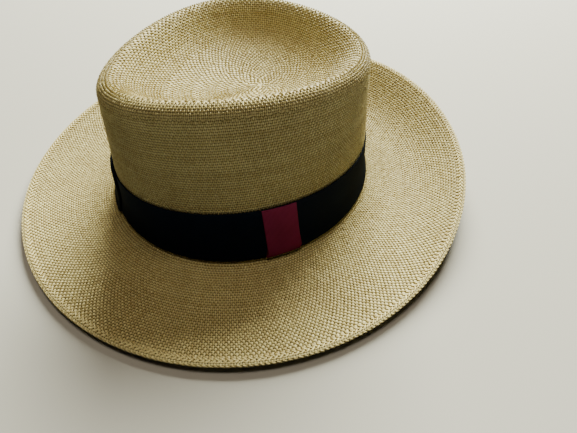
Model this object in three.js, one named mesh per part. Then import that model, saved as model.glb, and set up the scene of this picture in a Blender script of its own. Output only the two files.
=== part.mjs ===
import * as THREE from "three";

// Woven straw hat with a telescope crown, lying on its brim.
// Millimetres, +Z up, front towards -Y, the wearer's left towards +X.
// The origin is on the surface that the hat rests on, under the middle of its bounding box.
// A turn is an angle about +Z: 0 at the back, a quarter at the wearer's right, a half at the front.

// Foot of the crown, where the ribbon sits, outside the straw
const crownLength = 201.4;
const crownWidth = 178.4;

// Rim at the top of the crown, outside the straw
const rimLength = 178.5;
const rimWidth = 145;
const rimEgg = 0.3;
const rimForward = 10;
const rimRight = 1;
const crownHeight = 109;
const shoulderRadius = 7;

// Dished tip, whose lowest point lies behind the middle of the rim
const dishDepth = 34;
const dishBack = 20;
const dishLeft = 5;

// Straw wall and the woven-back edge of the brim
const strawWall = 1.8;
const edgeWall = 2.4;

// Crown foot: the wall flares out a little and turns into the brim
const footFlare = 1.8;
const flareHeight = 16;
const breakRadius = 4.4;

// Brim: a flat ring that the hat rests on, then a lifted edge
const restWidth = 12;
const brimWidth = 67.5;
const brimBack = 2.3;
const brimLeft = 1.8;
const brimLift = 31.5;

// Ribbon band and the two flat pieces laid over it
const ribbonHeight = 33.5;
const ribbonThickness = 1;
const stripeWidth = 22.8;
const stripeThickness = 1;
const stripeTurn = THREE.MathUtils.degToRad(-110.3);
const stripeLean = 3.6;
const lapWidth = 28;
const lapThickness = 1.4;
const lapTurn = THREE.MathUtils.degToRad(161);

// Gap between pieces that touch on the real hat
const clearance = 0.3;

// Steps round the hat and across a flat ribbon piece
const turnSteps = 64;
const pieceSteps = 6;

// Share of the way in from the rim's crest to the lowest point, and share of the dish depth
const dishSections = [
  { inward: 0.93, drop: 0.995 },
  { inward: 0.8, drop: 0.965 },
  { inward: 0.64, drop: 0.9 },
  { inward: 0.48, drop: 0.8 },
  { inward: 0.34, drop: 0.67 },
  { inward: 0.23, drop: 0.5 },
  { inward: 0.15, drop: 0.31 },
  { inward: 0.085, drop: 0.13 },
  { inward: 0.035, drop: 0.025 },
];

// Degrees round the shoulder, from the crest of the rim down to the wall
const shoulderAngles = [90, 66, 42, 20, 0];

// Share of the wall between the ribbon's top and the shoulder, from the top down
const wallShares = [0.66, 0.33];

// Share of the ribbon's height, from its top down to the foot of the crown
const ribbonShares = [1, 0.72, 0.44, 0.22, 0];

// Degrees round the fillet between the crown and the brim
const breakAngles = [25, 55, 90];

// Share of the flat ring's width
const restShares = [0.25, 0.75, 1];

// Share of the lifted part of the brim, and share of the edge's lift reached there
const brimSections = [
  { outward: 0.18, lift: 0.035 },
  { outward: 0.36, lift: 0.14 },
  { outward: 0.52, lift: 0.3 },
  { outward: 0.67, lift: 0.52 },
  { outward: 0.8, lift: 0.75 },
  { outward: 0.9, lift: 0.92 },
  { outward: 0.96, lift: 0.985 },
  { outward: 1, lift: 1 },
];

// Height of the brim's edge in eight even turns from the back, as a share of the brim's lift
const edgeHeights = [
  { place: "back", lift: 1 },
  { place: "back right", lift: 0.66 },
  { place: "right", lift: 0.43 },
  { place: "front right", lift: 0.2 },
  { place: "front", lift: 0.13 },
  { place: "front left", lift: 0.13 },
  { place: "left", lift: 0.2 },
  { place: "back left", lift: 0.72 },
];

// Heights above the resting surface
const brimLevel = strawWall;
const crownFoot = brimLevel + breakRadius;
const ribbonTop = crownFoot + ribbonHeight;
const shoulderHeight = crownHeight - shoulderRadius;
const lowestPoint = new THREE.Vector3(dishLeft - rimRight, dishBack - rimForward, crownHeight - dishDepth);

// A point of an oval that may be wider at its back than at its front
function ovalPoint(turn, length, width, egg) {
  const across = (width / 2) * Math.sin(turn) * (1 + egg * Math.cos(turn));
  const along = (length / 2) * Math.cos(turn);
  return new THREE.Vector2(-across, along);
}

// The same point moved outwards, square to the oval
function offsetOval(turn, length, width, egg, distance) {
  const step = 0.001;
  const ahead = ovalPoint(turn + step, length, width, egg);
  const behind = ovalPoint(turn - step, length, width, egg);
  const tangent = ahead.sub(behind).normalize();
  const outward = new THREE.Vector2(tangent.y, -tangent.x);
  return ovalPoint(turn, length, width, egg).addScaledVector(outward, distance);
}

function footPoint(turn, distance) {
  return offsetOval(turn, crownLength, crownWidth, 0, distance);
}

function rimPoint(turn, distance) {
  const point = offsetOval(turn, rimLength, rimWidth, rimEgg, distance);
  point.x -= rimRight;
  point.y -= rimForward;
  return point;
}

function at(flat, height) {
  return new THREE.Vector3(flat.x, flat.y, height);
}

// Outside of the crown's wall: straight from foot to shoulder, with a flare at the foot
function wallPoint(turn, height) {
  const share = (height - crownFoot) / (shoulderHeight - crownFoot);
  const flareLeft = Math.max(0, 1 - (height - crownFoot) / flareHeight);
  const flare = footFlare * flareLeft * flareLeft;
  const foot = footPoint(turn, flare - footFlare);
  const rim = rimPoint(turn, 0);
  return at(foot.lerp(rim, share), height);
}

function shoulderPoint(turn, degrees) {
  const angle = THREE.MathUtils.degToRad(degrees);
  const inward = shoulderRadius * (1 - Math.cos(angle));
  return at(rimPoint(turn, -inward), shoulderHeight + shoulderRadius * Math.sin(angle));
}

function dishPoint(turn, section) {
  const point = shoulderPoint(turn, 90).lerp(lowestPoint, section.inward);
  point.z = crownHeight - dishDepth * section.drop;
  return point;
}

function breakPoint(turn, degrees) {
  const angle = THREE.MathUtils.degToRad(degrees);
  const outward = breakRadius * (1 - Math.cos(angle));
  return at(footPoint(turn, outward), brimLevel + breakRadius * (1 - Math.sin(angle)));
}

// Smooth periodic curve through the edge heights
function edgeLift(turn) {
  const count = edgeHeights.length;
  const place = ((turn / (2 * Math.PI)) * count + count) % count;
  const first = Math.floor(place);
  const part = place - first;
  const lifts = [-1, 0, 1, 2].map((step) => edgeHeights[(first + step + count) % count].lift);
  const slopeBefore = (lifts[2] - lifts[0]) / 2;
  const slopeAfter = (lifts[3] - lifts[1]) / 2;
  const rise = lifts[2] - lifts[1];
  const square = 3 * rise - 2 * slopeBefore - slopeAfter;
  const cube = slopeBefore + slopeAfter - 2 * rise;
  return Math.max(0, lifts[1] + part * (slopeBefore + part * (square + part * cube)));
}

// Thickness of the straw on the brim, which grows into the woven-back edge
function brimWall(section) {
  return THREE.MathUtils.lerp(strawWall, edgeWall, THREE.MathUtils.smoothstep(section.outward, 0.9, 1));
}

function brimPoint(turn, section) {
  const start = breakRadius + restWidth;
  const distance = start + (brimWidth - start) * section.outward;
  const point = footPoint(turn, distance);
  point.x += brimLeft * section.outward;
  point.y += brimBack * section.outward;
  return at(point, brimWall(section) + brimLift * edgeLift(turn) * section.lift);
}

// Rows of the straw's outside, from the tip's lowest point out to the brim's edge
const rows = [{ wall: strawWall, place: () => lowestPoint.clone() }];

for (const section of dishSections) {
  rows.push({ wall: strawWall, place: (turn) => dishPoint(turn, section) });
}

for (const degrees of shoulderAngles) {
  rows.push({ wall: strawWall, place: (turn) => shoulderPoint(turn, degrees) });
}

for (const share of wallShares) {
  const height = ribbonTop + (shoulderHeight - ribbonTop) * share;
  rows.push({ wall: strawWall, place: (turn) => wallPoint(turn, height) });
}

const ribbonTopRow = rows.length;

for (const share of ribbonShares) {
  const height = crownFoot + ribbonHeight * share;
  rows.push({ wall: strawWall, place: (turn) => wallPoint(turn, height) });
}

const ribbonFootRow = rows.length;

for (const degrees of breakAngles) {
  rows.push({ wall: strawWall, place: (turn) => breakPoint(turn, degrees) });
}

for (const share of restShares) {
  const distance = breakRadius + restWidth * share;
  rows.push({ wall: strawWall, place: (turn) => at(footPoint(turn, distance), brimLevel) });
}

for (const section of brimSections) {
  rows.push({ wall: brimWall(section), place: (turn) => brimPoint(turn, section) });
}

// A point at a distance from the straw's outside, square to it
function skinPoint(turn, row, distance) {
  const point = rows[row].place(turn);
  if (row === 0) {
    return point.setZ(point.z + distance);
  }
  const step = 0.001;
  const along = rows[row].place(turn + step).sub(rows[row].place(turn - step));
  const next = Math.min(row + 1, rows.length - 1);
  const outward = rows[next].place(turn).sub(rows[row - 1].place(turn));
  return point.addScaledVector(outward.cross(along).normalize(), distance);
}

function meshFrom(name, points, triangles, material) {
  const geometry = new THREE.BufferGeometry();
  const flat = points.flatMap((point) => [point.x, point.y, point.z]);
  geometry.setAttribute("position", new THREE.Float32BufferAttribute(flat, 3));
  geometry.setIndex(triangles);
  geometry.computeVertexNormals();
  const mesh = new THREE.Mesh(geometry, material);
  mesh.name = name;
  return mesh;
}

// Two triangles for the patch between neighbours of two point rings
function addPatch(triangles, a, b, c, d) {
  triangles.push(a, b, c, a, c, d);
}

// Crown, tip and brim as one hollow woven wall
function makeStraw(material) {
  const points = [skinPoint(0, 0, 0), skinPoint(0, 0, -strawWall)];
  const outerStart = 2;
  const innerStart = outerStart + (rows.length - 1) * turnSteps;
  for (const side of [0, -1]) {
    for (let row = 1; row < rows.length; row += 1) {
      for (let step = 0; step < turnSteps; step += 1) {
        points.push(skinPoint((step / turnSteps) * 2 * Math.PI, row, side * rows[row].wall));
      }
    }
  }
  const outer = (row, step) => outerStart + (row - 1) * turnSteps + (step % turnSteps);
  const inner = (row, step) => innerStart + (row - 1) * turnSteps + (step % turnSteps);
  const triangles = [];
  const last = rows.length - 1;
  for (let step = 0; step < turnSteps; step += 1) {
    const next = step + 1;
    triangles.push(0, outer(1, step), outer(1, next));
    triangles.push(1, inner(1, next), inner(1, step));
    for (let row = 1; row < last; row += 1) {
      addPatch(triangles, outer(row, step), outer(row + 1, step), outer(row + 1, next), outer(row, next));
      addPatch(triangles, inner(row, step), inner(row, next), inner(row + 1, next), inner(row + 1, step));
    }
    addPatch(triangles, outer(last, step), inner(last, step), inner(last, next), outer(last, next));
  }
  return meshFrom("straw_body", points, triangles, material);
}

// A ribbon piece that lies on the crown: a closed band, or a strip between the first and last turn.
// The lean is how many turns its top runs ahead of its foot.
function makeRibbon(name, turns, closed, lean, distance, thickness, material) {
  const rowCount = ribbonFootRow - ribbonTopRow + 1;
  const ring = turns.length;
  const points = [];
  for (const depth of [distance + thickness, distance]) {
    for (let row = 0; row < rowCount; row += 1) {
      const ahead = lean * (0.5 - row / (rowCount - 1));
      for (const turn of turns) {
        points.push(skinPoint(turn + ahead, ribbonTopRow + row, depth));
      }
    }
  }
  const outer = (row, step) => row * ring + (step % ring);
  const inner = (row, step) => (rowCount + row) * ring + (step % ring);
  const triangles = [];
  const foot = rowCount - 1;
  const gaps = closed ? ring : ring - 1;
  for (let step = 0; step < gaps; step += 1) {
    const next = step + 1;
    for (let row = 0; row < foot; row += 1) {
      addPatch(triangles, outer(row, step), outer(row + 1, step), outer(row + 1, next), outer(row, next));
      addPatch(triangles, inner(row, step), inner(row, next), inner(row + 1, next), inner(row + 1, step));
    }
    addPatch(triangles, outer(0, step), outer(0, next), inner(0, next), inner(0, step));
    addPatch(triangles, outer(foot, step), inner(foot, step), inner(foot, next), outer(foot, next));
  }
  if (!closed) {
    const end = ring - 1;
    for (let row = 0; row < foot; row += 1) {
      addPatch(triangles, outer(row, 0), inner(row, 0), inner(row + 1, 0), outer(row + 1, 0));
      addPatch(triangles, outer(row, end), outer(row + 1, end), inner(row + 1, end), inner(row, end));
    }
  }
  return meshFrom(name, points, triangles, material);
}

// The turn that a width takes round the crown, at half the ribbon's height
function turnOf(middle, width) {
  const step = 0.001;
  const height = crownFoot + ribbonHeight / 2;
  const reach = wallPoint(middle + step, height).distanceTo(wallPoint(middle - step, height));
  return (width * 2 * step) / reach;
}

// Turns across a flat piece of a given width
function turnsAcross(middle, width) {
  const turnWidth = turnOf(middle, width);
  const turns = [];
  for (let index = 0; index <= pieceSteps; index += 1) {
    turns.push(middle + turnWidth * (index / pieceSteps - 0.5));
  }
  return turns;
}

const bandTurns = [];
for (let step = 0; step < turnSteps; step += 1) {
  bandTurns.push((step / turnSteps) * 2 * Math.PI);
}

const straw = new THREE.MeshStandardMaterial({ color: 0xd9c79a, roughness: 0.62, metalness: 0 });
const blackRibbon = new THREE.MeshStandardMaterial({ color: 0x0c0e12, roughness: 0.7, metalness: 0 });
const redRibbon = new THREE.MeshStandardMaterial({ color: 0x6b1534, roughness: 0.65, metalness: 0 });

const overBand = clearance + ribbonThickness + clearance;
const stripeTurns = turnsAcross(stripeTurn, stripeWidth);
const lean = turnOf(stripeTurn, stripeLean);
const lapTurns = turnsAcross(lapTurn, lapWidth);

const hat = new THREE.Group();
hat.add(makeStraw(straw));
hat.add(makeRibbon("ribbon_band", bandTurns, true, 0, clearance, ribbonThickness, blackRibbon));
hat.add(makeRibbon("ribbon_stripe", stripeTurns, false, lean, overBand, stripeThickness, redRibbon));
hat.add(makeRibbon("ribbon_lap", lapTurns, false, 0, overBand, lapThickness, blackRibbon));

// The origin goes under the middle of the hat's box
const box = new THREE.Box3().setFromObject(hat);
const middle = box.getCenter(new THREE.Vector3());
hat.position.set(-middle.x, -middle.y, -box.min.z);

export default hat;
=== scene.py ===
import math

import bpy
import numpy as np
from mathutils import Matrix, Vector


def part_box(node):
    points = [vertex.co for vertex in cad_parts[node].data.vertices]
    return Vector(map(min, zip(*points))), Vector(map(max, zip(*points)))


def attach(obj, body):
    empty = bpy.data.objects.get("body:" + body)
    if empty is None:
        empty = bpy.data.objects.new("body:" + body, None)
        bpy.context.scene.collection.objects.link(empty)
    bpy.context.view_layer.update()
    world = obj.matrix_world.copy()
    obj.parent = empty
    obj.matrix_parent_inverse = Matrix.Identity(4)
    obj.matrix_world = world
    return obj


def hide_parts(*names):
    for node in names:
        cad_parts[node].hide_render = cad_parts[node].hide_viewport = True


bl_info = {
    "name": "Woven straw hat",
    "version": (1, 0, 0),
    "blender": (4, 5, 0),
    "location": "3D View > Sidebar > Straw Hat",
    "description": "Builds a woven straw hat with a dished tip, a lifted brim and a grosgrain ribbon",
    "category": "Add Mesh",
}

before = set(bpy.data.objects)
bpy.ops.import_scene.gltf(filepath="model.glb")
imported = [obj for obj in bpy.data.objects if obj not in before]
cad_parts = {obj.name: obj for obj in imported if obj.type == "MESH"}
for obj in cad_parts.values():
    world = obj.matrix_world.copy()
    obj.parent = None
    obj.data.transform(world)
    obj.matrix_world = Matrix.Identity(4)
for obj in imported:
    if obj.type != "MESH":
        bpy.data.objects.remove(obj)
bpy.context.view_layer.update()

MILLIMETRE = 0.001
FULL_TURN = 2 * math.pi

# Share of the way in from the rim's crest to the tip's lowest point, and share of the dish depth
DISH_SECTIONS = (
    (0.0, 0.0),
    (0.035, 0.025),
    (0.085, 0.13),
    (0.15, 0.31),
    (0.23, 0.5),
    (0.34, 0.67),
    (0.48, 0.8),
    (0.64, 0.9),
    (0.8, 0.965),
    (0.93, 0.995),
    (1.0, 1.0),
)

# Share of the lifted part of the brim, and share of the edge's lift reached there
BRIM_SECTIONS = (
    (0.0, 0.0),
    (0.18, 0.035),
    (0.36, 0.14),
    (0.52, 0.3),
    (0.67, 0.52),
    (0.8, 0.75),
    (0.9, 0.92),
    (0.96, 0.985),
    (1.0, 1.0),
)

# Height of the brim's edge in eight even turns from the back towards the wearer's right
EDGE_LIFTS = (1.0, 0.66, 0.43, 0.2, 0.13, 0.13, 0.2, 0.72)

# Strands that cross a ring of the weave, from the rim of the crown to the rosette on the tip
TIP_STRANDS = (512, 384, 256, 192, 128, 96, 64, 48, 32, 24, 16, 12, 8)

# Sections of the straw, from the tip's lowest point out to the edge of the brim
DISH, SHOULDER, WALL, FILLET, REST, BRIM, EDGE = range(7)

# Share of the brim's width where it starts to thicken into its edge
EDGE_START = 0.9

# Step in turn and in station over which a slope is measured
SLOPE_STEP = 1e-3

# Points along the straw and turns round the hat from which a spacing or a girth is measured
SPACING_POINTS, SPACING_TURNS, GIRTH_POINTS = 800, 32, 97


def linear(hex_colour):
    """An sRGB hex colour as linear red, green and blue."""
    channels = [int(hex_colour[place : place + 2], 16) / 255 for place in (1, 3, 5)]
    return tuple(c / 12.92 if c <= 0.04045 else ((c + 0.055) / 1.055) ** 2.4 for c in channels)


def number(name, default, description, kind=bpy.props.FloatProperty, **limits):
    """A number that a user may change."""
    return kind(name=name, description=description, default=default, **limits)


def length(name, millimetres, description):
    """A length that a user may change, held in metres."""
    limits = {"min": 0.0, "precision": 4, "subtype": "DISTANCE", "unit": "LENGTH"}
    return number(name, millimetres * MILLIMETRE, description, **limits)


def factor(name, default, most, description):
    """A share that a user may change."""
    return number(name, default, description, min=0.0, max=most, subtype="FACTOR")


def turn_of(name, degrees, description):
    """A turn that a user may change, held in radians."""
    return number(name, math.radians(degrees), description, subtype="ANGLE")


def power(name, watts, description):
    """The power of a light that a user may change."""
    return number(name, watts, description, min=0.0, unit="POWER")


def colour(name, hex_colour, description):
    """A colour that a user may change, held as linear red, green and blue."""
    limits = {"min": 0.0, "max": 1.0, "size": 3, "subtype": "COLOR"}
    return number(name, linear(hex_colour), description, bpy.props.FloatVectorProperty, **limits)


class StrawHatShape(bpy.types.PropertyGroup):
    """Sizes of the crown and the brim."""

    crown_length: length("Crown length", 201.4, "Foot of the crown, front to back, outside the straw")
    crown_width: length("Crown width", 178.4, "Foot of the crown, side to side, outside the straw")
    rim_length: length("Rim length", 178.5, "Rim at the top of the crown, front to back")
    rim_width: length("Rim width", 145.0, "Rim at the top of the crown, side to side")
    rim_egg: factor("Rim egg", 0.3, 0.6, "How much wider the rim is at its back than at its front")
    rim_forward: length("Rim forward", 10.0, "How far the rim's middle lies in front of the foot's middle")
    rim_right: length("Rim right", 1.0, "How far the rim's middle lies to the wearer's right")
    crown_height: length("Crown height", 109.0, "Height of the rim's crest above the surface")
    shoulder_radius: length("Shoulder radius", 7.0, "Radius of the soft rim")
    dish_depth: length("Dish depth", 34.0, "Depth of the dished tip below the rim's crest")
    dish_back: length("Dish back", 20.0, "How far the lowest point lies behind the rim's middle")
    dish_left: length("Dish left", 5.0, "How far the lowest point lies to the wearer's left")
    straw_wall: length("Straw wall", 1.8, "Thickness of the woven straw")
    edge_wall: length("Edge wall", 2.4, "Thickness of the woven-back edge")
    foot_flare: length("Foot flare", 1.8, "How far the wall flares out above the brim")
    flare_height: length("Flare height", 16.0, "Height of the flare at the foot of the crown")
    break_radius: length("Break radius", 4.4, "Radius between the crown and the brim")
    rest_width: length("Rest width", 12.0, "Flat ring that the hat rests on")
    brim_width: length("Brim width", 66.4, "From the foot of the crown to the edge, without its braid")
    brim_back: length("Brim back", 2.3, "How far the edge of the brim is shifted backwards")
    brim_left: length("Brim left", 1.8, "How far the edge of the brim is shifted to the wearer's left")
    brim_lift: length("Brim lift", 31.5, "Highest lift of the brim's edge, at the back")


class StrawHatWeave(bpy.types.PropertyGroup):
    """Sizes and colours of the woven straw."""

    row_pitch: length("Row pitch", 1.7, "Spacing of the rows that run round the hat")
    strand_least: length("Least strand", 1.25, "Narrowest strand on the tip before strands are dropped")
    stitch_length: length("Stitch length", 3.6, "Length of a bent-back strand on the edge")
    stitch_width: length("Stitch width", 1.1, "Width of a bent-back strand on the edge")
    stitch_thickness: length("Stitch thickness", 0.6, "Thickness of a bent-back strand on the edge")
    relief: length("Relief", 0.42, "How far a crossing stands above the middle of the weave")
    wander: length("Wander", 0.12, "How far crossings differ in height")
    round_shade: factor("Round shade", 0.8, 1.0, "Brightness of strands that run round, beside others")
    brim_strands: number(
        "Brim strands", 672, "Strands that run outwards on the brim", bpy.props.IntProperty, min=64, max=900
    )
    seed: number("Seed", 11, "Seed of what is random in the weave", bpy.props.IntProperty)
    light: colour("Light straw", "#D9CD93", "Palest strands")
    deep: colour("Deep straw", "#B3A06A", "Deepest strands")
    # Painted shade: a dark colour put into the gaps between strands, where shade falls
    gap: colour("Gap", "#2F2917", "Gaps between strands")


class StrawHatRibbon(bpy.types.PropertyGroup):
    """Sizes and colours of the ribbon."""

    height: length("Ribbon height", 33.5, "Width of the ribbon, measured up the crown")
    thickness: length("Thickness", 0.75, "Thickness of one layer of ribbon")
    lift: length("Lift", 0.3, "Gap between the straw and the ribbon")
    rib_pitch: length("Rib pitch", 0.75, "Spacing of the ribs that cross the ribbon")
    rib_depth: length("Rib depth", 0.07, "How far a rib stands above the middle of the ribbon")
    stripe_width: length("Stripe width", 22.8, "Width of the coloured stripe round the crown")
    stripe_lean: length("Stripe lean", 3.6, "How far the stripe's top runs ahead of its foot")
    lap_width: length("Lap width", 28.0, "Width of the flat end where the ribbon overlaps itself")
    lap_thickness: length("Lap thickness", 1.6, "Thickness of the folded end")
    stripe_turn: turn_of("Stripe turn", -110.3, "Turn of the stripe from the back of the hat")
    lap_turn: turn_of("Lap turn", 161, "Turn of the ribbon's end from the back of the hat")
    black: colour("Black", "#061120", "Ribbon")
    burgundy: colour("Burgundy", "#7C264B", "Stripe")


class StrawHatStage(bpy.types.PropertyGroup):
    """Floor, light and camera."""

    floor_size: length("Floor size", 6000.0, "Side of the square floor")
    floor: colour("Floor", "#A7A6A4", "Plain pale floor")
    key_power: power("Key power", 238.0, "Power of the large light behind the hat")
    ceiling_power: power("Ceiling power", 11.8, "Power of the soft light above the hat")
    sky: number("Sky", 0.01, "Strength of the even light from all round", min=0.0)


def ease(part, start, rise, first, second):
    """A cubic from a start over a rise, with a given slope at each end."""
    square = 3 * rise - 2 * first - second
    cube = first + second - 2 * rise
    return start + part * (first + part * (square + part * cube))


def smooth_share(table, share):
    """A smooth curve through a table's pairs that never turns back between them."""
    xs, ys = np.array(table).T
    slopes = np.diff(ys) / np.diff(xs)
    ends = np.zeros(len(xs))
    ends[1:-1] = 2 * slopes[:-1] * slopes[1:] / (slopes[:-1] + slopes[1:] + 1e-12)
    ends[-1] = slopes[-1] if slopes[-1] > 0.1 else 0.0
    spot = np.clip(np.searchsorted(xs, share, side="right") - 1, 0, len(slopes) - 1)
    span = (xs[1:] - xs[:-1])[spot]
    part = (share - xs[spot]) / span
    return ease(part, ys[spot], ys[spot + 1] - ys[spot], ends[spot] * span, ends[spot + 1] * span)


def edge_lift(turn):
    """Height of the brim's edge at a turn, as a share of the highest lift."""
    lifts = np.array(EDGE_LIFTS)
    count = len(lifts)
    place = (turn / FULL_TURN * count) % count
    first = np.floor(place).astype(int)
    before, here, after, beyond = (lifts[(first + step) % count] for step in (-1, 0, 1, 2))
    return np.maximum(0, ease(place - first, here, after - here, (after - before) / 2, (beyond - here) / 2))


def oval(turn, long, wide, egg, distance):
    """Points of an oval, moved outwards square to it. Turn 0 is at the back."""
    across = wide / 2 * np.sin(turn) * (1 + egg * np.cos(turn))
    along = long / 2 * np.cos(turn)
    across_slope = wide / 2 * (np.cos(turn) + egg * np.cos(2 * turn))
    along_slope = -long / 2 * np.sin(turn)
    size = np.hypot(across_slope, along_slope)
    x = -across + distance * along_slope / size
    y = along + distance * across_slope / size
    return np.stack([x, y], axis=-1)


def foot_oval(hat, turn, distance):
    return oval(turn, hat.crown_length, hat.crown_width, 0.0, distance)


def rim_oval(hat, turn, distance):
    return oval(turn, hat.rim_length, hat.rim_width, hat.rim_egg, distance) - (hat.rim_right, hat.rim_forward)


def with_height(flat, height):
    return np.concatenate([flat, np.broadcast_to(height, flat.shape[:-1])[..., None]], axis=-1)


def crown_foot(hat):
    return hat.straw_wall + hat.break_radius


def shoulder_height(hat):
    return hat.crown_height - hat.shoulder_radius


def dish_point(hat, turn, share):
    inward = 1 - share
    crest = shoulder_point(hat, turn, 0 * share)[..., :2]
    lowest = np.array((hat.dish_left - hat.rim_right, hat.dish_back - hat.rim_forward))
    flat = crest + (lowest - crest) * inward[..., None]
    return with_height(flat, hat.crown_height - hat.dish_depth * smooth_share(DISH_SECTIONS, inward))


def shoulder_point(hat, turn, share):
    angle = (1 - share) * math.pi / 2
    flat = rim_oval(hat, turn, -hat.shoulder_radius * (1 - np.cos(angle)))
    return with_height(flat, shoulder_height(hat) + hat.shoulder_radius * np.sin(angle))


def wall_point(hat, turn, share):
    height = shoulder_height(hat) + (crown_foot(hat) - shoulder_height(hat)) * share
    flare_left = np.maximum(0, 1 - (height - crown_foot(hat)) / hat.flare_height)
    foot = foot_oval(hat, turn, hat.foot_flare * flare_left**2 - hat.foot_flare)
    rim = rim_oval(hat, turn, 0.0)
    return with_height(rim + (foot - rim) * share[..., None], height)


def fillet_point(hat, turn, share):
    angle = share * math.pi / 2
    flat = foot_oval(hat, turn, hat.break_radius * (1 - np.cos(angle)))
    return with_height(flat, hat.straw_wall + hat.break_radius * (1 - np.sin(angle)))


def rest_point(hat, turn, share):
    return with_height(foot_oval(hat, turn, hat.break_radius + hat.rest_width * share), hat.straw_wall)


def edge_wall(hat, share):
    """Thickness of the brim, which grows into the woven-back edge."""
    part = np.clip((share - EDGE_START) / (1 - EDGE_START), 0, 1)
    return hat.straw_wall + (hat.edge_wall - hat.straw_wall) * part * part * (3 - 2 * part)


def brim_point(hat, turn, share):
    start = hat.break_radius + hat.rest_width
    flat = foot_oval(hat, turn, start + (hat.brim_width - start) * share)
    flat = flat + share[..., None] * (hat.brim_left, hat.brim_back)
    lift = hat.brim_lift * edge_lift(turn) * smooth_share(BRIM_SECTIONS, np.minimum(share, 1))
    return with_height(flat, edge_wall(hat, share) + lift)


PLACES = (dish_point, shoulder_point, wall_point, fillet_point, rest_point, brim_point)


def straw_point(hat, turn, station):
    """Outside of the straw. A station counts the sections from the tip's lowest point to the edge."""
    turn, station = np.broadcast_arrays(np.asarray(turn, float), np.asarray(station, float))
    point = np.empty(turn.shape + (3,))
    section = np.clip(np.floor(station), DISH, BRIM)
    for number, place in enumerate(PLACES):
        here = section == number
        point[here] = place(hat, turn[here], station[here] - number)
    return point


def unit(vectors):
    return vectors / np.maximum(np.linalg.norm(vectors, axis=-1, keepdims=True), 1e-12)


def straw_frame(hat, turn, station):
    """Point, outward direction along the straw and direction square to it."""
    turn, station = np.broadcast_arrays(np.asarray(turn, float), np.asarray(station, float))
    point = straw_point(hat, turn, station)
    along = straw_point(hat, turn + SLOPE_STEP, station) - straw_point(hat, turn - SLOPE_STEP, station)
    nearer = np.maximum(station - SLOPE_STEP, 0)
    further = np.minimum(station + SLOPE_STEP, EDGE)
    outward = unit(straw_point(hat, turn, further) - straw_point(hat, turn, nearer))
    square = unit(np.cross(outward, along))
    square[station < SLOPE_STEP] = (0, 0, 1)
    return point, outward, square


def hat_middle():
    """Middle of the crown's foot, from the ribbon of the CAD model."""
    low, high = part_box("ribbon_band")
    return np.array(((low.x + high.x) / 2, (low.y + high.y) / 2, 0.0))


def skin_point(hat, turn, station, distance=0.0, outset=0.0):
    """A point at a distance from the straw's outside, and further out along it."""
    point, outward, square = straw_frame(hat, turn, station)
    distance = np.broadcast_to(distance, point.shape[:-1])[..., None]
    outset = np.broadcast_to(outset, point.shape[:-1])[..., None]
    return point + square * distance + outward * outset + hat_middle()


def even_stations(hat, first, last, pitch):
    """Stations at an even spacing along the straw, measured as a mean round the hat."""
    fine = np.linspace(first, last, SPACING_POINTS)
    turns = np.linspace(0, FULL_TURN, SPACING_TURNS, endpoint=False)
    points = straw_point(hat, turns[None, :], fine[:, None])
    steps = np.linalg.norm(np.diff(points, axis=0), axis=2).mean(axis=1)
    reach = np.concatenate([[0], np.cumsum(steps)])
    count = max(1, round(reach[-1] / pitch))
    return np.interp(np.linspace(0, reach[-1], count + 1), reach, fine)


def girth(hat, station):
    """Length round the straw at a station."""
    ring = straw_point(hat, np.linspace(0, FULL_TURN, GIRTH_POINTS), station)
    return np.linalg.norm(np.diff(ring, axis=0), axis=1).sum()


def wall_station(hat, height):
    """Station on the wall at a height."""
    return WALL + (shoulder_height(hat) - height) / (shoulder_height(hat) - crown_foot(hat))


def strands_at(hat, weave, station):
    """Strands that cross a ring of the crown, which are fewer towards the rosette."""
    if station >= SHOULDER:
        return TIP_STRANDS[0]
    around = girth(hat, station)
    wide_enough = [count for count in TIP_STRANDS if around / count >= weave.strand_least]
    return wide_enough[0] if wide_enough else TIP_STRANDS[-1]


# Lift of a crossing where the round strand is on top, as a share of the outward strand's
ROUND_STRAND_LIFT = -0.8

# How far a crossing lies out of line, as a share of a cell's width and height
SWAY = 0.12


def add_object(name, data):
    thing = bpy.data.objects.new(name, data)
    bpy.context.scene.collection.objects.link(thing)
    return thing


def make_piece(name, points, faces, corners, lifts, smooth):
    """A piece with its weave's map, and with the share of the relief that lifts each point."""
    mesh = bpy.data.meshes.new(name)
    mesh.from_pydata(points.tolist(), [], faces)
    mesh.uv_layers.new(name="weave").data.foreach_set("uv", np.array(corners, np.float32).ravel())
    mesh.attributes.new("lift", "FLOAT", "POINT").data.foreach_set("value", np.array(lifts, np.float32))
    mesh.polygons.foreach_set("use_smooth", smooth)
    return add_object(name, mesh)


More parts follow.
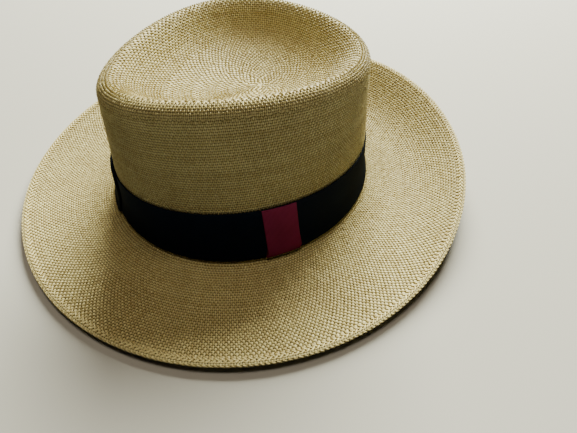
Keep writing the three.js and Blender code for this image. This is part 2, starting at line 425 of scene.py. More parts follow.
def make_shell(name, hat, rings, rows, closed, seed):
    """A shell from rings of points, closed by a pole at each end or by joining its last ring to its first.
    A ring is (station, distance, outset). A row joins two rings and is (cells, strands, woven, first row
    number, last row number). A woven cell has a crossing in its middle that stands proud."""
    scale = math.lcm(*(row[0] for row in rows))
    records, faces, corners, smooth = [], [], [], []

    def add_point(turn, station, distance, outset, lift, room=(0.0, 0.0)):
        records.append((turn, station, distance, outset, lift, *room))
        return len(records) - 1

    ring_marks = []
    for number, ring in enumerate(rings):
        near = [rows[number - 1]] if number or closed else []
        near += [rows[number]] if number < len(rows) else []
        counts = {row[0] for row in near}
        marks = sorted({step * (scale // count) for count in counts for step in range(count)})
        woven = all(row[2] for row in near)
        lift = -1.0 if woven else 0.0
        room = (1 / max(counts), abs(ring[0] - rings[number - 1][0])) if woven else (0.0, 0.0)
        ring_marks.append({mark: add_point(mark / scale, *ring, lift, room) for mark in marks})
        ring_marks[-1][scale] = ring_marks[-1][0]

    for number, (cells, strands, woven, low, high) in enumerate(rows):
        here, there = rings[number], rings[(number + 1) % len(rings)]
        inner, outer = ring_marks[number], ring_marks[(number + 1) % len(rings)]
        width = scale // cells
        inner_plain, outer_plain = len(inner) == cells + 1, len(outer) == cells + 1
        inner_list, outer_list = sorted(inner), sorted(outer)
        middle = [(a + b) / 2 for a, b in zip(here, there)]
        for cell in range(cells):
            start, stop = cell * width, (cell + 1) * width
            ends = (start, stop)
            inner_marks = ends if inner_plain else [m for m in inner_list if start <= m <= stop]
            outer_marks = ends if outer_plain else [m for m in outer_list if start <= m <= stop]
            rim = [(outer[m], (m / scale * strands, high)) for m in outer_marks]
            rim += [(inner[m], (m / scale * strands, low)) for m in reversed(inner_marks)]
            if woven:
                lift = 1.0 if (cell + number) % 2 else ROUND_STRAND_LIFT
                room = (1 / cells, abs(there[0] - here[0]))
                centre = add_point((start + stop) / 2 / scale, *middle, lift, room)
                spot = ((start + stop) / 2 / scale * strands, (low + high) / 2)
                for this, following in zip(rim, rim[1:] + rim[:1]):
                    faces.append((centre, this[0], following[0]))
                    corners += [spot, this[1], following[1]]
                    smooth.append(False)
            else:
                faces.append(tuple(vertex for vertex, _ in rim))
                corners += [spot for _, spot in rim]
                smooth.append(True)

    if not closed:
        # Both poles lie at the tip's lowest point, one outside and one inside
        for ring, row, at_start in ((0, rows[0], True), (-1, rows[-1], False)):
            marks = sorted(ring_marks[ring])
            pole = add_point(0.0, 0.0, rings[ring][1], 0.0, 0.0)
            level = row[3] if at_start else row[4]
            beyond = level - 1 if at_start else level + 1
            for this, following in zip(marks, marks[1:]):
                pair = [(ring_marks[ring][m], (m / scale * row[1], level)) for m in (this, following)]
                pair = pair if at_start else pair[::-1]
                faces.append((pole, pair[0][0], pair[1][0]))
                smooth.append(True)
                corners += [(this / scale * row[1], beyond), pair[0][1], pair[1][1]]

    # Crossings lie a little out of line, as in hand weaving
    turns, stations, distances, outsets, lifts, *rooms = np.array(records).T
    sway = np.random.default_rng(seed).uniform(-SWAY, SWAY, (len(turns), 2)) * np.transpose(rooms)
    stations = np.clip(stations + sway[:, 1], 0, EDGE)
    points = skin_point(hat, (turns + sway[:, 0]) * FULL_TURN, stations, distances, outsets)
    return make_piece(name, points, faces, corners, lifts, smooth)


def add_node(tree, kind, links=None, **settings):
    """Adds one node. Settings are its properties, and links its inputs, as values, sockets or nodes."""
    node = tree.nodes.new(kind)
    for name, value in settings.items():
        setattr(node, name, value)
    for socket, value in (links or {}).items():
        if isinstance(value, bpy.types.Node):
            value = value.outputs[0]
        if isinstance(value, bpy.types.NodeSocket):
            tree.links.new(value, node.inputs[socket])
        else:
            node.inputs[socket].default_value = value
    return node


def maths(tree, operation, *values):
    return add_node(tree, "ShaderNodeMath", dict(enumerate(values)), operation=operation)


def noise(tree, per_metre, detail):
    """Soft noise with a number of patches to the metre."""
    space = add_node(tree, "ShaderNodeTexCoord").outputs["Object"]
    return add_node(tree, "ShaderNodeTexNoise", {"Vector": space, "Scale": per_metre, "Detail": detail})


def remap(tree, value, start, end=(0.0, 1.0), **settings):
    """Moves a value from one range to another and holds it there."""
    ends = dict(zip(("From Min", "From Max", "To Min", "To Max"), (*start, *end)))
    return add_node(tree, "ShaderNodeMapRange", {"Value": value, **ends}, **settings)


def blend(tree, share, low, high):
    """A colour between two others, each a tint or a socket."""
    low, high = (value if isinstance(value, bpy.types.NodeSocket) else (*value, 1.0) for value in (low, high))
    return add_node(tree, "ShaderNodeMix", {0: share, 6: low, 7: high}, data_type="RGBA").outputs[2]


def from_middle(tree, part):
    """Distance from the middle of a strand or a row, which is 1 at its edges."""
    return maths(tree, "ABSOLUTE", maths(tree, "MULTIPLY_ADD", part, 2.0, -1.0))


def swells(tree, place):
    """Round swells, one to each step of a place."""
    return maths(tree, "ABSOLUTE", maths(tree, "SINE", maths(tree, "MULTIPLY", place, math.pi)))


def new_material(name):
    material = bpy.data.materials.new(name)
    material.use_nodes = True
    material.node_tree.nodes.clear()
    return material, material.node_tree


def surface(material, looks):
    """Ends a material with a skin, whose looks go by the names of its inputs."""
    skin = add_node(material.node_tree, "ShaderNodeBsdfPrincipled", looks)
    add_node(material.node_tree, "ShaderNodeOutputMaterial", {"Surface": skin})
    return material


# How far a strand wanders sideways and rises at a crossing, and the power of its fall to its edges
STRAND_WANDER, STRAND_RISE, STRAND_FALL = 0.3, 0.5, 3.0

# Weights of the tones of a patch of the hat, a crossing, a row and the strand on top, and their range
PATCH_TONE, CELL_TONE, ROW_TONE, TOP_TONE = 0.5, 0.45, 0.15, 0.25
TONE_RANGE = (0.45, 1.35)

# Keeps the tone of a row apart from that of the strand with the same number
ROW_SEED = 0.37

# Height where the painted shade of the gaps between strands is darkest, and height from which a strand has
# its full light
GAP_RANGE = (-0.6, 0.4)

# Where a row starts to darken towards its edge, and its brightness at the edge: painted shade between rows
RING_START, RING_SHADE = 0.6, 0.75

# Depth of the bumps that the materials add to the geometry
STRAND_BUMP, FIBRE_BUMP, YARN_BUMP = 0.12 * MILLIMETRE, 0.1 * MILLIMETRE, 0.06 * MILLIMETRE


def straw_material(weave):
    """Bleached palm straw, woven: flat strands about 1.2 mm wide that pass over and under each other,
    each with its own tone and a faint waxy gloss, with painted shade in the gaps, on round strands and
    between rows."""
    material, tree = new_material("Woven palm straw")
    uv = add_node(tree, "ShaderNodeUVMap", uv_map="weave")
    # Strands wander by up to a seventh of their width over some 5 mm
    bend = noise(tree, per_metre=200.0, detail=1.0)
    reach, back = ((share * STRAND_WANDER, share * STRAND_WANDER, 0.0) for share in (1.0, -0.5))
    shift = add_node(
        tree, "ShaderNodeVectorMath", {0: bend.outputs["Color"], 1: reach, 2: back}, operation="MULTIPLY_ADD"
    )
    moved = add_node(tree, "ShaderNodeVectorMath", {0: uv, 1: shift}, operation="ADD")
    place = add_node(tree, "ShaderNodeSeparateXYZ", {0: moved}).outputs
    strand, row = (maths(tree, "FLOOR", place[axis]) for axis in "XY")
    across_strand, across_row = (maths(tree, "FRACT", place[axis]) for axis in "XY")

    # Plus one where the outward strand is on top, minus one where the round strand is
    over = maths(tree, "COSINE", maths(tree, "MULTIPLY", maths(tree, "ADD", strand, row), math.pi))
    heights = []
    for across, along, sign in ((across_strand, across_row, 1.0), (across_row, across_strand, -1.0)):
        swell = maths(tree, "SINE", maths(tree, "MULTIPLY", along, math.pi))
        raised = maths(tree, "MULTIPLY", maths(tree, "MULTIPLY", swell, over), sign * STRAND_RISE)
        fall = maths(tree, "POWER", from_middle(tree, across), STRAND_FALL)
        heights.append(maths(tree, "SUBTRACT", raised, fall))
    top = maths(tree, "MAXIMUM", *heights)
    outward_on_top = maths(tree, "GREATER_THAN", *heights)

    # Tone of broad patches of the hat, of each crossing, of each row and of the strand on top
    strand_tone = add_node(tree, "ShaderNodeTexWhiteNoise", {"W": strand}, noise_dimensions="1D")
    row_seed = maths(tree, "ADD", row, ROW_SEED)
    row_tone = add_node(tree, "ShaderNodeTexWhiteNoise", {"W": row_seed}, noise_dimensions="1D")
    top_tone = add_node(tree, "ShaderNodeMix", {0: outward_on_top, 2: row_tone, 3: strand_tone})
    cell = add_node(tree, "ShaderNodeCombineXYZ", {0: strand, 1: row})
    cell_tone = add_node(tree, "ShaderNodeTexWhiteNoise", {"Vector": cell}, noise_dimensions="2D")
    tone = maths(tree, "MULTIPLY_ADD", noise(tree, per_metre=28.0, detail=2.0), PATCH_TONE, PATCH_TONE / 2)
    for part, share in ((cell_tone, CELL_TONE), (row_tone, ROW_TONE), (top_tone, TOP_TONE)):
        tone = maths(tree, "MULTIPLY_ADD", part, share, tone)
    straw = blend(tree, remap(tree, tone, TONE_RANGE), weave.deep, weave.light)

    # Painted shade in the gaps between strands: the lower the straw, the darker
    closeness = remap(tree, top, GAP_RANGE, interpolation_type="SMOOTHSTEP")
    # Round strands lie lower, in the shade of the outward ones
    lit = remap(tree, outward_on_top, (0.0, 1.0), (weave.round_shade, 1.0))
    strand_light = maths(tree, "MULTIPLY", closeness, lit)
    # Rows stand a little apart from each other, with painted shade between them, which shows as fine rings
    ring_light = remap(tree, from_middle(tree, across_row), (RING_START, 1.0), (1.0, RING_SHADE))
    brightness = maths(tree, "MULTIPLY", strand_light, ring_light)
    # Blends the straw towards the painted shade of the gaps, of the round strands and between rows
    shade = blend(tree, brightness, weave.gap, straw)
    bump = add_node(tree, "ShaderNodeBump", {"Height": top, "Distance": STRAND_BUMP, "Strength": 1.0})
    looks = {"Base Color": shade, "Roughness": 0.5, "IOR": 1.5, "Specular IOR Level": 0.3, "Normal": bump}
    return surface(material, looks)


# Height of the warp yarns beside the ribs, and brightness of the ribbon in its grooves and on its ribs:
# painted shade in the grooves and painted light on the ribs
YARN_HEIGHT = 0.4
RIB_LIGHT = (0.55, 1.1)

# Brightness of the ribbon's darkest patches, and how much brighter the palest are
PATCH_LIGHT, PATCH_SWING = 0.7, 0.6


def ribbon_material(name, tint):
    """Grosgrain ribbon: dull filament yarn in close ribs about 0.75 mm apart."""
    material, tree = new_material(name)
    uv = add_node(tree, "ShaderNodeUVMap", uv_map="weave")
    place = add_node(tree, "ShaderNodeSeparateXYZ", {0: uv}).outputs
    yarn, rib = swells(tree, place["Y"]), swells(tree, place["X"])
    relief = maths(tree, "MULTIPLY_ADD", yarn, YARN_HEIGHT, rib)
    patch = maths(tree, "MULTIPLY_ADD", noise(tree, per_metre=60.0, detail=2.0), PATCH_SWING, PATCH_LIGHT)
    # Painted shade in the grooves and painted light on the ribs, over patches of random tone
    strength = maths(tree, "MULTIPLY", patch, remap(tree, rib, (0.0, 1.0), RIB_LIGHT))
    dyed = add_node(tree, "ShaderNodeVectorMath", {0: tuple(tint), "Scale": strength}, operation="SCALE")
    bump = add_node(tree, "ShaderNodeBump", {"Height": relief, "Distance": YARN_BUMP, "Strength": 0.8})
    looks = {"Base Color": dyed, "Roughness": 0.8, "IOR": 1.5, "Specular IOR Level": 0.05, "Normal": bump}
    return surface(material, looks)


def board_material(tint):
    """Painted board, matt and even, so that nothing draws the eye from the hat."""
    material, _ = new_material("Painted board")
    return surface(material, {"Base Color": (*tint, 1.0), "Roughness": 0.8})


def new_tree(name, *lengths):
    """A geometry node tree with a geometry at each end, and the sockets of its inputs."""
    tree = bpy.data.node_groups.new(name, "GeometryNodeTree")
    tree.interface.new_socket("Geometry", in_out="INPUT", socket_type="NodeSocketGeometry")
    tree.interface.new_socket("Geometry", in_out="OUTPUT", socket_type="NodeSocketGeometry")
    for label, kind in (*((each, "Float") for each in lengths), ("Seed", "Int"), ("Material", "Material")):
        tree.interface.new_socket(label, in_out="INPUT", socket_type="NodeSocket" + kind)
    return tree, add_node(tree, "NodeGroupInput").outputs


def close_tree(tree, geometry, material):
    """Ends a tree with its instances made real and its material set."""
    real = add_node(tree, "GeometryNodeRealizeInstances", {"Geometry": geometry})
    painted = add_node(tree, "GeometryNodeSetMaterial", {"Geometry": real, "Material": material})
    add_node(tree, "NodeGroupOutput", {"Geometry": painted})


def relief_tree():
    """Raises crossings and ribs and sinks what lies between them, square to the surface."""
    tree, given = new_tree("Woven relief", "Relief", "Wander")
    lift = add_node(tree, "GeometryNodeInputNamedAttribute", {"Name": "lift"}, data_type="FLOAT")
    lowest = maths(tree, "MULTIPLY", given["Wander"], -1.0)
    chance = add_node(tree, "FunctionNodeRandomValue", {2: lowest, 3: given["Wander"], "Seed": given["Seed"]})
    height = maths(tree, "ADD", given["Relief"], chance.outputs[1])
    amount = maths(tree, "MULTIPLY", lift, height)
    square = add_node(tree, "GeometryNodeInputNormal")
    offset = add_node(tree, "ShaderNodeVectorMath", {0: square, "Scale": amount}, operation="SCALE")
    raised = add_node(tree, "GeometryNodeSetPosition", {"Geometry": given["Geometry"], "Offset": offset})
    close_tree(tree, raised, given["Material"])
    return tree


def run_tree(piece, tree, values):
    """Runs a geometry node tree on a piece, with its inputs set by their identifiers, and keeps the mesh."""
    modifier = piece.modifiers.new(tree.name, "NODES")
    modifier.node_group = tree
    for item in tree.interface.items_tree:
        if item.in_out == "INPUT" and item.name in values:
            modifier[item.identifier] = values[item.name]
    graph = bpy.context.evaluated_depsgraph_get()
    mesh = bpy.data.meshes.new_from_object(
        piece.evaluated_get(graph), preserve_all_data_layers=True, depsgraph=graph
    )
    piece.modifiers.remove(modifier)
    old = piece.data
    piece.data = mesh
    bpy.data.meshes.remove(old)
    mesh.name = piece.name


def finish_piece(piece, slot, *nodes):
    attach(piece, "root")
    if nodes:
        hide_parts(*nodes)


def cut_station(hat, ribbon):
    """Where the crown's weave meets the brim's, hidden behind the middle of the ribbon."""
    return wall_station(hat, crown_foot(hat) + ribbon.height / 2)


def hidden_top(hat, ribbon):
    """Where the straw goes behind the ribbon's top, a little below its edge."""
    return wall_station(hat, crown_foot(hat) + ribbon.height - 2 * MILLIMETRE)


# Cells round the inside of the crown
INSIDE_CELLS = 128

# Spacing of the plain rings behind the ribbon, and rows of the weave that one of them spans
HIDDEN_PITCH, HIDDEN_ROWS = 6 * MILLIMETRE, 3

# Part of the turn from wall to brim that lies behind the ribbon's foot
COVERED_TURN = 0.1


def hat_settings():
    """Sizes and colours of the hat's shape, its weave and its ribbon."""
    scene = bpy.context.scene
    return scene.straw_hat_shape, scene.straw_hat_weave, scene.straw_hat_ribbon


def add_ring(rings, rows, ring, cells, strands, woven, span):
    """Adds a ring to a shell, and the row that leads to it and spans so many rows of the weave."""
    level = rows[-1][4] if rows else 0
    rings.append(ring)
    rows.append((cells, strands, woven, level, level + span))


def add_hidden_rings(rings, rows, hat, first, last, strands):
    """Adds the plain straw behind the ribbon."""
    for station in even_stations(hat, first, last, HIDDEN_PITCH)[1:]:
        add_ring(rings, rows, (station, 0.0, 0.0), strands, strands, False, HIDDEN_ROWS)


class HAT_OT_straw_crown(bpy.types.Operator):
    """Weave the tip and the wall of the crown"""

    bl_idname = "straw_hat.crown"
    bl_label = "Straw crown"

    def execute(self, context):
        hat, weave, ribbon = hat_settings()
        most, pitch = TIP_STRANDS[0], weave.row_pitch
        hidden, cut = hidden_top(hat, ribbon), cut_station(hat, ribbon)
        outer = [*even_stations(hat, 0.0, SHOULDER, pitch)[1:]]
        outer += [*even_stations(hat, SHOULDER, hidden, pitch)[1:]]
        rings, rows = [(outer[0], 0.0, 0.0)], []
        for before, station in zip(outer, outer[1:]):
            strands = strands_at(hat, weave, (before + station) / 2)
            add_ring(rings, rows, (station, 0.0, 0.0), strands, strands, True, 1)
        add_hidden_rings(rings, rows, hat, hidden, cut, most)
        add_ring(rings, rows, (cut, -hat.straw_wall, 0.0), most, most, False, 1)
        inside = [cut, *even_stations(hat, cut, SHOULDER, 2 * pitch)[1:]]
        inside += [*even_stations(hat, SHOULDER, 0.0, 2 * pitch)[1:-1]]
        for before, station in zip(inside, inside[1:]):
            strands = strands_at(hat, weave, (before + station) / 2)
            ring = (station, -hat.straw_wall, 0.0)
            add_ring(rings, rows, ring, min(strands, INSIDE_CELLS), strands, False, 2)
        piece = make_shell("straw_crown", hat, rings, rows, closed=False, seed=weave.seed)
        weave_surface(piece, weave)
        finish_piece(piece, "woven_straw", "straw_body")
        return {"FINISHED"}


class HAT_OT_straw_brim(bpy.types.Operator):
    """Weave the brim, from behind the ribbon to its edge"""

    bl_idname = "straw_hat.brim"
    bl_label = "Straw brim"

    def execute(self, context):
        hat, weave, ribbon = hat_settings()
        cut, shown = cut_station(hat, ribbon), FILLET + COVERED_TURN
        strands = weave.brim_strands
        rings, rows = [(cut, 0.0, 0.0)], []
        add_hidden_rings(rings, rows, hat, cut, shown, strands)
        for station in even_stations(hat, shown, EDGE, weave.row_pitch)[1:]:
            add_ring(rings, rows, (station, 0.0, 0.0), strands, strands, True, 1)
        # The edge is half round
        half = hat.edge_wall / 2
        for degrees in range(30, 181, 30):
            angle = math.radians(degrees)
            ring = (float(EDGE), -half * (1 - math.cos(angle)), half * math.sin(angle))
            add_ring(rings, rows, ring, strands, strands, False, 0.5)
        for station in even_stations(hat, EDGE, cut, 2 * weave.row_pitch)[1:]:
            wall = edge_wall(hat, station - BRIM) if station > BRIM else hat.straw_wall
            add_ring(rings, rows, (station, -float(wall), 0.0), strands // 4, strands, False, 2)
        level = rows[-1][4]
        rows.append((strands // 4, strands, False, level, level + 1))
        piece = make_shell("straw_brim", hat, rings, rows, closed=True, seed=weave.seed)
        weave_surface(piece, weave)
        finish_piece(piece, "woven_straw", "straw_body")
        return {"FINISHED"}


def weave_surface(piece, weave):
    """Gives a piece of straw its relief and its material."""
    values = {
        "Relief": weave.relief,
        "Wander": weave.wander,
        "Seed": weave.seed,
        "Material": bpy.data.materials.get("Woven palm straw") or straw_material(weave),
    }
    run_tree(piece, relief_tree(), values)


def stitch_tree():
    """A bent-back strand on each point of a guide, turned to lie along it at a slant."""
    tree, given = new_tree("Edge braid", "Length", "Width", "Thickness", "Wander")
    ball = add_node(tree, "GeometryNodeMeshUVSphere", {"Segments": 8, "Rings": 4, "Radius": 0.5})
    sizes = {0: given["Length"], 1: given["Width"], 2: given["Thickness"]}
    size = add_node(tree, "ShaderNodeCombineXYZ", sizes)
    strand = add_node(tree, "GeometryNodeTransform", {"Geometry": ball, "Scale": size})
    smooth = add_node(tree, "GeometryNodeSetShadeSmooth", {"Geometry": strand})
    slant = add_node(tree, "GeometryNodeInputNamedAttribute", {"Name": "slant"}, data_type="FLOAT_VECTOR")
    square = add_node(tree, "GeometryNodeInputNamedAttribute", {"Name": "square"}, data_type="FLOAT_VECTOR")
    align = "FunctionNodeAlignRotationToVector"
    lying = add_node(tree, align, {"Vector": slant}, axis="X")
    facing = add_node(tree, align, {"Rotation": lying, "Vector": square}, axis="Z", pivot_axis="X")
    least = maths(tree, "SUBTRACT", 1.0, given["Wander"])
    most = maths(tree, "ADD", 1.0, given["Wander"])
    grown = add_node(tree, "FunctionNodeRandomValue", {2: least, 3: most, "Seed": given["Seed"]})
    placed = add_node(
        tree,
        "GeometryNodeInstanceOnPoints",
        {"Points": given["Geometry"], "Instance": smooth, "Rotation": facing, "Scale": grown.outputs[1]},
    )
    close_tree(tree, placed, given["Material"])
    return tree


# Weight of the fibres beside the broader blotches, and the range that both fill
FIBRE_TONE, BRAID_RANGE = 0.6, (0.5, 1.1)


def braid_material(weave):
    """Bleached palm straw of the edge, whose bent-back strands are a little darker and glossier."""
    material, tree = new_material("Bent palm straw")
    # Fibres as blotches of a millimetre and less, on broader ones
    fibre, patch = noise(tree, per_metre=900.0, detail=2.0), noise(tree, per_metre=160.0, detail=1.0)
    tone = maths(tree, "MULTIPLY_ADD", fibre, FIBRE_TONE, patch)
    straw = blend(tree, remap(tree, tone, BRAID_RANGE), weave.deep, weave.light)
    bump = add_node(tree, "ShaderNodeBump", {"Height": fibre, "Distance": FIBRE_BUMP})
    return surface(material, {"Base Color": straw, "Roughness": 0.45, "IOR": 1.5, "Normal": bump})


class HAT_OT_edge_braid(bpy.types.Operator):
    """Lay the bent-back strands along the edge of the brim"""

    bl_idname = "straw_hat.edge_braid"
    bl_label = "Edge braid"

    def execute(self, context):
        hat, weave, _ = hat_settings()
        points, slants, squares = [], [], []
        half = hat.edge_wall / 2
        # Two rows on top and one over the edge: station, turn of the row round the edge, lean of a strand
        for station, degrees, lean in weave_back_rows(hat, weave):
            count = weave.brim_strands // 2
            turns = (np.arange(count) + (0.5 if lean > 0 else 0.0)) / count * FULL_TURN
            stations = np.full(count, station)
            point, outward, square = straw_frame(hat, turns, stations)
            along = unit(np.cross(square, outward))
            angle = math.radians(degrees)
            away = square * math.cos(angle) + outward * math.sin(angle)
            face = unit(away)
            down = unit(np.cross(face, along))
            base = point - square * half + away * half
            points.append(base + hat_middle())
            slants.append(unit(along * math.cos(lean) + down * math.sin(lean)))
            squares.append(face)
        mesh = bpy.data.meshes.new("straw_edge_braid")
        mesh.from_pydata(np.concatenate(points).tolist(), [], [])
        for name, values in (("slant", slants), ("square", squares)):
            data = np.concatenate(values).astype(np.float32).ravel()
            mesh.attributes.new(name, "FLOAT_VECTOR", "POINT").data.foreach_set("vector", data)
        piece = add_object("straw_edge_braid", mesh)
        values = {
            "Length": weave.stitch_length,
            "Width": weave.stitch_width,
            "Thickness": weave.stitch_thickness,
            "Wander": STITCH_WANDER,
            "Seed": weave.seed,
            "Material": bpy.data.materials.get("Bent palm straw") or braid_material(weave),
        }
        run_tree(piece, stitch_tree(), values)
        finish_piece(piece, "woven_straw")
        return {"FINISHED"}


# How far bent-back strands differ in size, as a share of it
STITCH_WANDER = 0.12


def weave_back_rows(hat, weave):
    """Rows of the edge braid: station, degrees round the edge and slant."""
    step = weave.row_pitch / (hat.brim_width - hat.break_radius - hat.rest_width)
    return (
        (EDGE - 1.5 * step, 0.0, math.radians(-40)),
        (EDGE - 0.6 * step, 0.0, math.radians(35)),
        (float(EDGE), 75.0, math.radians(-25)),
    )


# Station of the ribbon's foot, 25 of the 90 degrees into the turn from wall to brim
RIBBON_FOOT = FILLET + 25 / 90

# Spacing of the ribbon's points down its front and up its back, and of its warp yarns
FRONT_PITCH, BACK_PITCH, YARN_PITCH = 2.5 * MILLIMETRE, 8 * MILLIMETRE, 0.35 * MILLIMETRE

# How far the rounded selvedge stands out, and shares of its reach and height at its shoulder
SELVEDGE = 0.35 * MILLIMETRE
SHOULDER_REACH, SHOULDER_RISE = 0.6, 0.8

# Gap between the band and a strip over it
STRIP_GAP = 0.15 * MILLIMETRE


def ribbon_shell(name, hat, ribbon, turns, closed, lean, low, high):
    """A strip of ribbon on the crown between two distances from the straw, with ribs across it
    and rounded selvedges. Every other turn is the crest of a rib."""
    top, foot = wall_station(hat, crown_foot(hat) + ribbon.height), RIBBON_FOOT
    middle, half = (low + high) / 2, (high - low) / 2
    reach, shoulder = SHOULDER_REACH * SELVEDGE, middle + SHOULDER_RISE * half
    # Station, distance, outset and share of the ribs, down the front and up the back
    section = [(top, middle, -SELVEDGE, 0.0), (top, shoulder, -reach, 0.5)]
    section += [(station, high, 0.0, 1.0) for station in even_stations(hat, top, foot, FRONT_PITCH)]
    section += [(foot, shoulder, reach, 0.5), (foot, middle, SELVEDGE, 0.0)]
    section += [(station, low, 0.0, 0.0) for station in even_stations(hat, foot, top, BACK_PITCH)]
    stations, distances, outsets, ribbed = (np.array(column) for column in zip(*section))
    share = (stations - top) / (foot - top)
    count, ring = len(section), len(turns)
    turn_grid = np.array(turns)[:, None] + lean * (0.5 - share)[None, :]
    grid = [np.broadcast_to(values, turn_grid.shape) for values in (stations, distances, outsets)]
    points = skin_point(hat, turn_grid, *grid).reshape(-1, 3)
    crest = np.where(np.arange(ring) % 2, 1.0, -1.0)
    lifts = (crest[:, None] * ribbed[None, :]).ravel()
    yarns = share * (ribbon.height / YARN_PITCH)
    faces, corners = [], []
    for step in range(ring if closed else ring - 1):
        here, there = step * count, (step + 1) % ring * count
        left, right = step / 2, step / 2 + 0.5
        for row in range(count):
            after = (row + 1) % count
            faces.append((here + row, here + after, there + after, there + row))
            first, last = yarns[row], yarns[after or row]
            corners += [(left, first), (left, last), (right, last), (right, first)]
    if not closed:
        for start, order in ((0, range(count)[::-1]), ((ring - 1) * count, range(count))):
            faces.append(tuple(start + row for row in order))
            corners += [(0.0, yarns[row]) for row in order]
    return make_piece(name, points, faces, corners, lifts, [True] * len(faces))


def turn_across(hat, ribbon, middle, width):
    """The turn that a width takes round the crown, at half the ribbon's height."""
    turns = np.array((middle - SLOPE_STEP, middle + SLOPE_STEP))
    ends = straw_point(hat, turns, cut_station(hat, ribbon))
    return width * 2 * SLOPE_STEP / np.linalg.norm(ends[1] - ends[0])


def lay_ribbon(name, turns, closed, lean, low, high, material, slot, node):
    hat, _, ribbon = hat_settings()
    piece = ribbon_shell(name, hat, ribbon, turns, closed, lean, low, high)
    values = {"Relief": ribbon.rib_depth, "Wander": 0.0, "Seed": 0, "Material": material}
    run_tree(piece, relief_tree(), values)
    finish_piece(piece, slot, node)


def strip_turns(hat, ribbon, middle, width):
    """Turns of the rib crests and grooves across a flat strip."""
    ribs = round(width / ribbon.rib_pitch)
    return middle + turn_across(hat, ribbon, middle, width) * np.linspace(-0.5, 0.5, 2 * ribs + 1)


def black_grosgrain(ribbon):
    return bpy.data.materials.get("Black grosgrain") or ribbon_material("Black grosgrain", ribbon.black)


class HAT_OT_ribbon_band(bpy.types.Operator):
    """Lay the ribbon round the foot of the crown"""

    bl_idname = "straw_hat.ribbon_band"
    bl_label = "Ribbon band"

    def execute(self, context):
        hat, _, ribbon = hat_settings()
        ribs = round(girth(hat, cut_station(hat, ribbon)) / ribbon.rib_pitch)
        turns = np.linspace(0, FULL_TURN, 2 * ribs, endpoint=False)
        low, high = ribbon.lift, ribbon.lift + ribbon.thickness
        black = black_grosgrain(ribbon)
        lay_ribbon("ribbon_band_cloth", turns, True, 0.0, low, high, black, "black_ribbon", "ribbon_band")
        return {"FINISHED"}


class HAT_OT_ribbon_strips(bpy.types.Operator):
    """Lay the coloured stripe and the ribbon's end over the band"""

    bl_idname = "straw_hat.ribbon_strips"
    bl_label = "Stripe and ribbon end"

    def execute(self, context):
        hat, _, ribbon = hat_settings()
        low = ribbon.lift + ribbon.thickness + STRIP_GAP
        turns = strip_turns(hat, ribbon, ribbon.stripe_turn, ribbon.stripe_width)
        lean = turn_across(hat, ribbon, ribbon.stripe_turn, ribbon.stripe_lean)
        red = ribbon_material("Burgundy grosgrain", ribbon.burgundy)
        high = low + ribbon.thickness
        lay_ribbon("ribbon_stripe_cloth", turns, False, lean, low, high, red, "red_ribbon", "ribbon_stripe")
        turns = strip_turns(hat, ribbon, ribbon.lap_turn, ribbon.lap_width)
        black = black_grosgrain(ribbon)
        high = low + ribbon.lap_thickness
        lay_ribbon("ribbon_lap_cloth", turns, False, 0.0, low, high, black, "black_ribbon", "ribbon_lap")
        return {"FINISHED"}


# The camera of the photograph, solved from the hat's outlines: place in metres, degrees, pixels
CAMERA_PLACE = (0.20074, -0.16572, 0.23657)
CAMERA_TURN = 48.2
CAMERA_DOWN = 41.0
CAMERA_ROLL = 1.62
CAMERA_FOCUS = 433.0
PHOTO_SIZE = (577, 433)
PHOTO_MIDDLE = (262.63, 156.59)
SENSOR = 36.0

# The soft lights: property with the power, size and place in metres, and tint
LIGHTS = {
    "window": ("key_power", 1.4, (-0.9, 1.26, 1.26), (1.0, 1.0, 0.79)),
    "ceiling": ("ceiling_power", 0.5, (-0.12, -0.06, 1.7), (1.0, 0.86, 0.64)),
}
LIGHT_AIM = (0.0, 0.0, 0.05)


def make_camera(scene):
    turn, down, roll = (math.radians(angle) for angle in (CAMERA_TURN, CAMERA_DOWN, CAMERA_ROLL))
    ahead = Vector((-math.sin(turn) * math.cos(down), math.cos(turn) * math.cos(down), -math.sin(down)))
    level = ahead.cross(Vector((0, 0, 1))).normalized()
    above = level.cross(ahead)
    right = level * math.cos(roll) + above * math.sin(roll)
    up = above * math.cos(roll) - level * math.sin(roll)
    data = bpy.data.cameras.new("photo_camera")
    wide, high = PHOTO_SIZE
    data.sensor_width = SENSOR
    data.lens = SENSOR * CAMERA_FOCUS / wide
    data.shift_x = (wide / 2 - PHOTO_MIDDLE[0]) / wide
    data.shift_y = (PHOTO_MIDDLE[1] - high / 2) / wide
    data.clip_start = 0.01
    camera = add_object("photo_camera", data)
    camera.matrix_world = Matrix.Translation(CAMERA_PLACE) @ Matrix((right, up, -ahead)).transposed().to_4x4()
    scene.camera = camera


def make_light(name, power, size, place, tint):
    data = bpy.data.lights.new(name, "AREA")
    data.shape = "DISK"
    data.size = size
    data.energy = power
    data.color = tint
    lamp = add_object(name, data)
    lamp.location = place
    lamp.rotation_euler = (Vector(LIGHT_AIM) - Vector(place)).to_track_quat("-Z", "Y").to_euler()


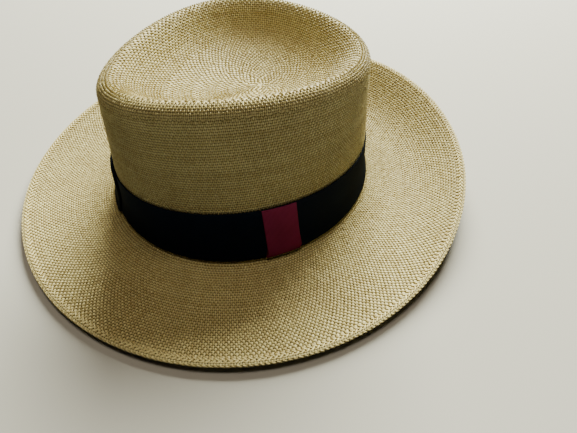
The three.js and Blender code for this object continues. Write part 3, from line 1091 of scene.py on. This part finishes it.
class HAT_OT_stage(bpy.types.Operator):
    """Set the plain floor, the soft lights and the camera"""

    bl_idname = "straw_hat.stage"
    bl_label = "Stage"

    def execute(self, context):
        scene = context.scene
        stage = scene.straw_hat_stage
        half = stage.floor_size / 2
        mesh = bpy.data.meshes.new("floor")
        corners = [(-half, -half, 0.0), (half, -half, 0.0), (half, half, 0.0), (-half, half, 0.0)]
        mesh.from_pydata(corners, [], [(0, 1, 2, 3)])
        mesh.materials.append(board_material(stage.floor))
        floor = add_object("floor", mesh)
        for name, (power_name, size, place, tint) in LIGHTS.items():
            make_light(name, getattr(stage, power_name), size, place, tint)
        world = bpy.data.worlds.new("even_light")
        world.use_nodes = True
        tree = world.node_tree
        tree.nodes.clear()
        sky = add_node(tree, "ShaderNodeBackground", {"Color": (1, 1, 1, 1), "Strength": stage.sky})
        add_node(tree, "ShaderNodeOutputWorld", {"Surface": sky})
        scene.world = world
        make_camera(scene)
        return {"FINISHED"}


class HAT_PT_panel(bpy.types.Panel):
    """Sizes, colours and pieces of the straw hat"""

    bl_idname = "HAT_PT_panel"
    bl_label = "Straw Hat"
    bl_space_type = "VIEW_3D"
    bl_region_type = "UI"
    bl_category = "Straw Hat"

    def draw(self, context):
        for operator in OPERATORS:
            self.layout.operator(operator.bl_idname)
        for name, group in GROUPS:
            box = self.layout.box()
            for key in group.__annotations__:
                box.prop(getattr(context.scene, name), key)


GROUPS = (
    ("straw_hat_shape", StrawHatShape),
    ("straw_hat_weave", StrawHatWeave),
    ("straw_hat_ribbon", StrawHatRibbon),
    ("straw_hat_stage", StrawHatStage),
)
OPERATORS = (
    HAT_OT_straw_crown,
    HAT_OT_straw_brim,
    HAT_OT_edge_braid,
    HAT_OT_ribbon_band,
    HAT_OT_ribbon_strips,
    HAT_OT_stage,
)


def register():
    for name, group in GROUPS:
        bpy.utils.register_class(group)
        setattr(bpy.types.Scene, name, bpy.props.PointerProperty(type=group))
    for operator in (*OPERATORS, HAT_PT_panel):
        bpy.utils.register_class(operator)


def unregister():
    for operator in reversed((*OPERATORS, HAT_PT_panel)):
        bpy.utils.unregister_class(operator)
    for name, group in reversed(GROUPS):
        delattr(bpy.types.Scene, name)
        bpy.utils.unregister_class(group)


def main():
    register()
    bpy.ops.straw_hat.crown()
    bpy.ops.straw_hat.brim()
    bpy.ops.straw_hat.edge_braid()
    bpy.ops.straw_hat.ribbon_band()
    bpy.ops.straw_hat.ribbon_strips()
    bpy.ops.straw_hat.stage()


if __name__ == "__main__":
    main()
